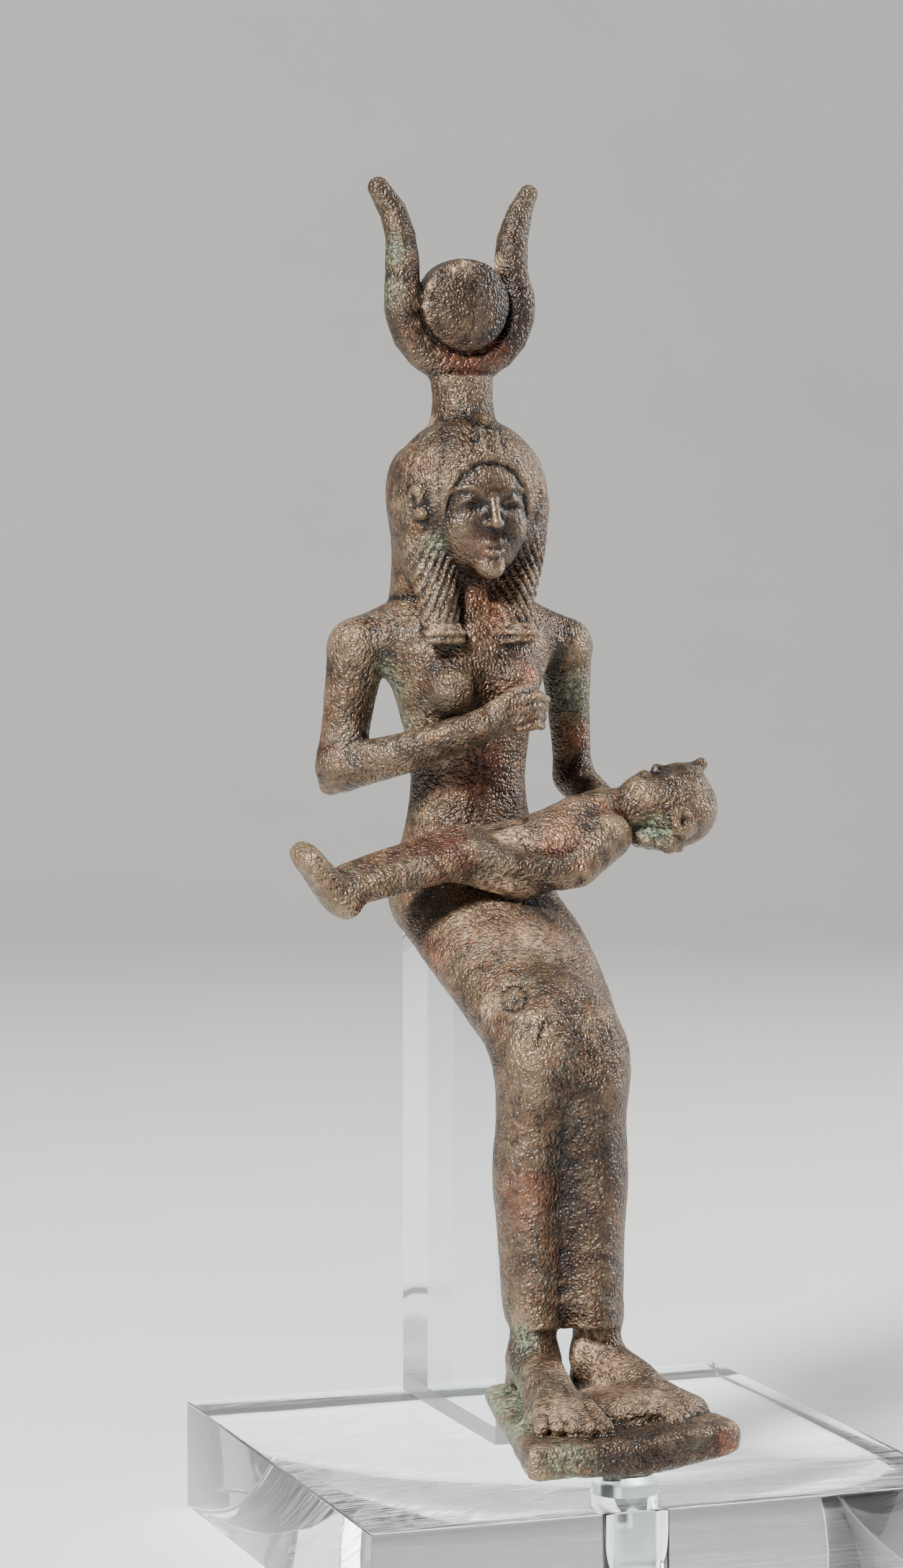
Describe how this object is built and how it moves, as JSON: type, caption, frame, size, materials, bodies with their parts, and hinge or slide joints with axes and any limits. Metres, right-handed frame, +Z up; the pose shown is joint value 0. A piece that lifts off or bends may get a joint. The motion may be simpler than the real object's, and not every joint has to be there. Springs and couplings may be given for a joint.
{
  "type": "isis and horus figure",
  "caption": "Seated bronze goddess with horned disc headdress nursing a child across her lap, on a clear acrylic block, slab and pin.",
  "frame": {"origin": "middle of the underside of the acrylic block", "axes": "+X to the viewer's right of the figure, which faces -Y, +Z up"},
  "size_m": [0.1, 0.1, 0.2297],
  "materials": {
    "bronze": "corroded cast bronze, dark brown with reddish, tan and green patches",
    "acrylic": "clear polished acrylic"
  },
  "bodies": {
    "root": {"isis_and_horus_bronze": "bronze", "acrylic_base_block": "acrylic", "acrylic_upright": "acrylic", "acrylic_pin": "acrylic"}
  },
  "joints": []
}
